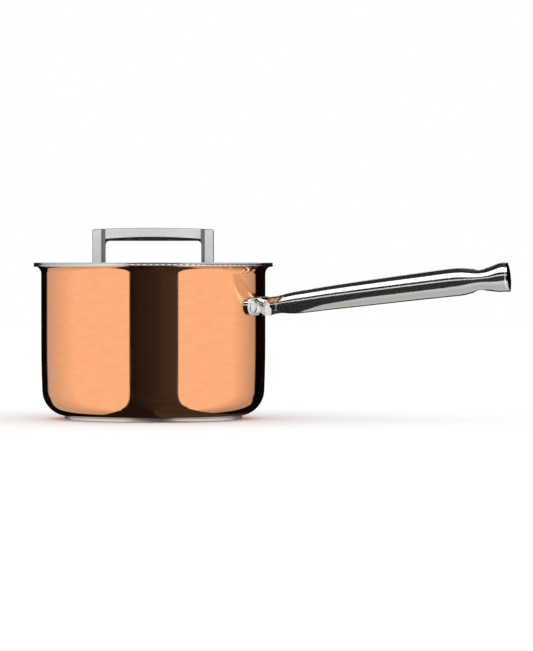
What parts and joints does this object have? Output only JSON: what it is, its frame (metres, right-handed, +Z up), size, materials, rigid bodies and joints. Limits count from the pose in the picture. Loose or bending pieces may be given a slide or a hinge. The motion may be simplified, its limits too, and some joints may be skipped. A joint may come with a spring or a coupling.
{
  "type": "saucepan with glass lid",
  "caption": "Copper-clad saucepan with a riveted tubular steel handle and an inset, low-domed glass lid with a bridge handle.",
  "frame": {"origin": "centre of the underside of the base disc, on the pan's axis", "axes": "+Z up through the pan and lid, +X from the pan's axis along its handle"},
  "size_m": [0.3453, 0.1728, 0.1378],
  "materials": {
    "copper": "polished",
    "core": "satin",
    "liner_steel": "satin",
    "base_steel": "satin",
    "polished_steel": "polished",
    "fastener_steel": "satin",
    "glass": "gloss",
    "silicone": "matte"
  },
  "bodies": {
    "pan": {"copper_outer_shell": "copper", "aluminium_core": "core", "steel_inner_liner": "liner_steel", "base_plate": "base_steel", "handle_bracket": "polished_steel", "handle_rivet_front": "polished_steel", "handle_rivet_back": "polished_steel", "handle_tube": "polished_steel", "handle_end_cap": "polished_steel"},
    "lid": {"lid_glass": "glass", "lid_rim_band": "polished_steel", "steam_vent_eyelet": "polished_steel", "lid_handle": "polished_steel", "lid_gasket_top_left": "silicone", "lid_gasket_top_right": "silicone", "lid_gasket_bottom_left": "silicone", "lid_gasket_bottom_right": "silicone", "lid_washer_left": "fastener_steel", "lid_washer_right": "fastener_steel", "lid_screw_left": "fastener_steel", "lid_screw_right": "fastener_steel"}
  },
  "joints": [
    {"name": "lid_lift", "type": "slide", "parent": "pan", "child": "lid", "axis": [0, 0, 1], "range_m": [0, 0.12]}
  ]
}
